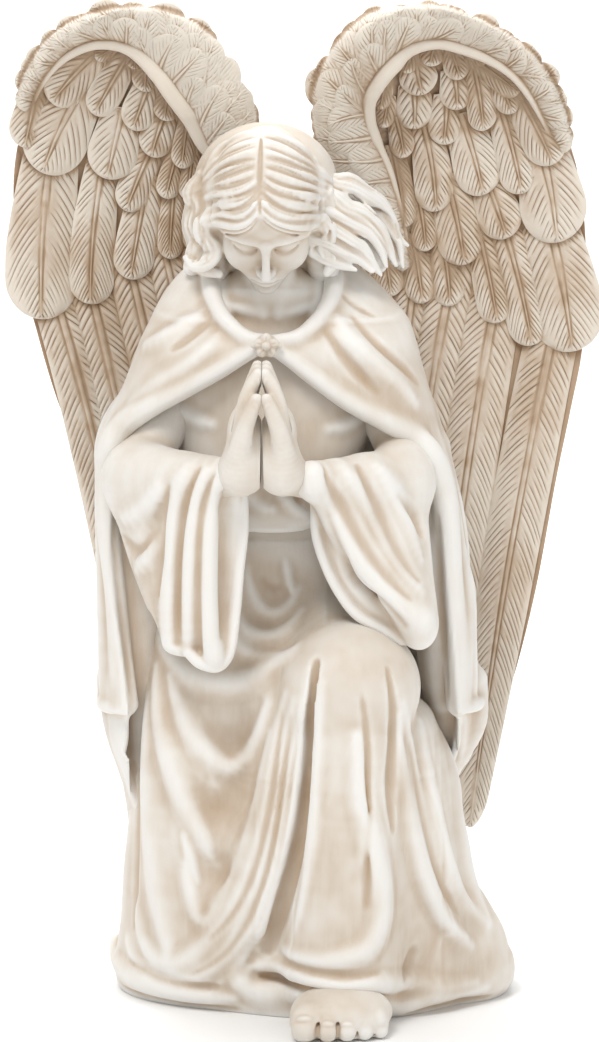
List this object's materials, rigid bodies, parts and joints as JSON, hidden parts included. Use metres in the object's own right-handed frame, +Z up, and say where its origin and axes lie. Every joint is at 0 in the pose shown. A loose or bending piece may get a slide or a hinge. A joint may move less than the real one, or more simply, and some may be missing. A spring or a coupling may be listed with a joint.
{
  "type": "angel figurine",
  "caption": "Winged angel in a cape and long gown, kneeling on one knee with bowed head and praying hands; hollow cast resin that stands on a flat closed base.",
  "frame": {"origin": "on the floor, under the middle of the gown's vent hole in the flat underside", "axes": "+Z up, -Y to the figure's front, +X to the viewer's right, which is the figure's left"},
  "size_m": [0.212, 0.1291, 0.35],
  "materials": {
    "cast_resin": "hand-painted ivory with a tan wash in the folds, satin",
    "skin_resin": "hand-painted ivory, smooth satin",
    "feather_resin": "hand-painted ivory with a tan wash between the feathers, satin",
    "plain_resin": "unpainted cast resin, matte",
    "plug_rubber": "matte",
    "dowel_steel": "bright drawn"
  },
  "bodies": {
    "root": {"gown_skirt": "cast_resin", "bottom_plate": "plain_resin", "vent_plug": "plug_rubber", "torso": "cast_resin", "cape": "cast_resin", "cape_clasp": "cast_resin", "right_sleeve": "cast_resin", "left_sleeve": "cast_resin", "right_hand": "skin_resin", "left_hand": "skin_resin", "head": "skin_resin", "trailing_hair": "cast_resin", "left_foot": "skin_resin", "right_wing": "feather_resin", "left_wing": "feather_resin", "wing_dowels": "dowel_steel", "neck_dowel": "dowel_steel", "arm_dowels": "dowel_steel", "wrist_dowels": "dowel_steel", "foot_dowel": "dowel_steel", "hair_dowel": "dowel_steel"}
  },
  "joints": []
}
